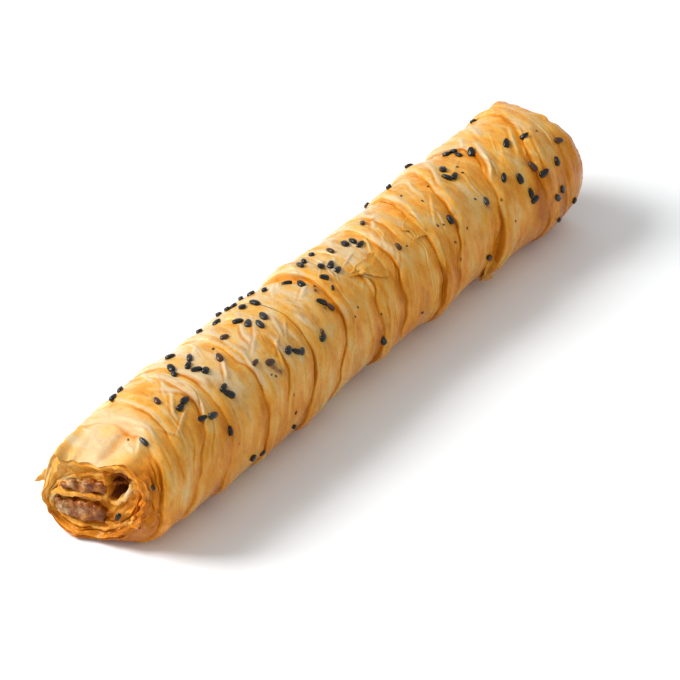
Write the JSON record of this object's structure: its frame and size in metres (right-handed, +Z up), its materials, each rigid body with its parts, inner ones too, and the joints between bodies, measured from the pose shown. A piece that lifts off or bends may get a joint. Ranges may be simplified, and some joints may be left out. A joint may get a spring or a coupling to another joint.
{
  "type": "borek",
  "caption": "Long baked borek roll of wrinkled golden filo pastry with black seeds, open at both ends where the minced-meat filling shows.",
  "frame": {"origin": "middle of the roll's underside, on the surface that it lies on", "axes": "+Z up, X along the roll with the low near end at -X, -Y the side that the picture shows"},
  "size_m": [0.2189, 0.042, 0.039],
  "materials": {
    "pastry": "baked golden filo with a buttery half gloss, browned in the creases, with black seeds",
    "filling": "moist cooked mince, pinkish brown"
  },
  "bodies": {
    "root": {"pastry": "pastry", "filling": "filling"}
  },
  "joints": []
}
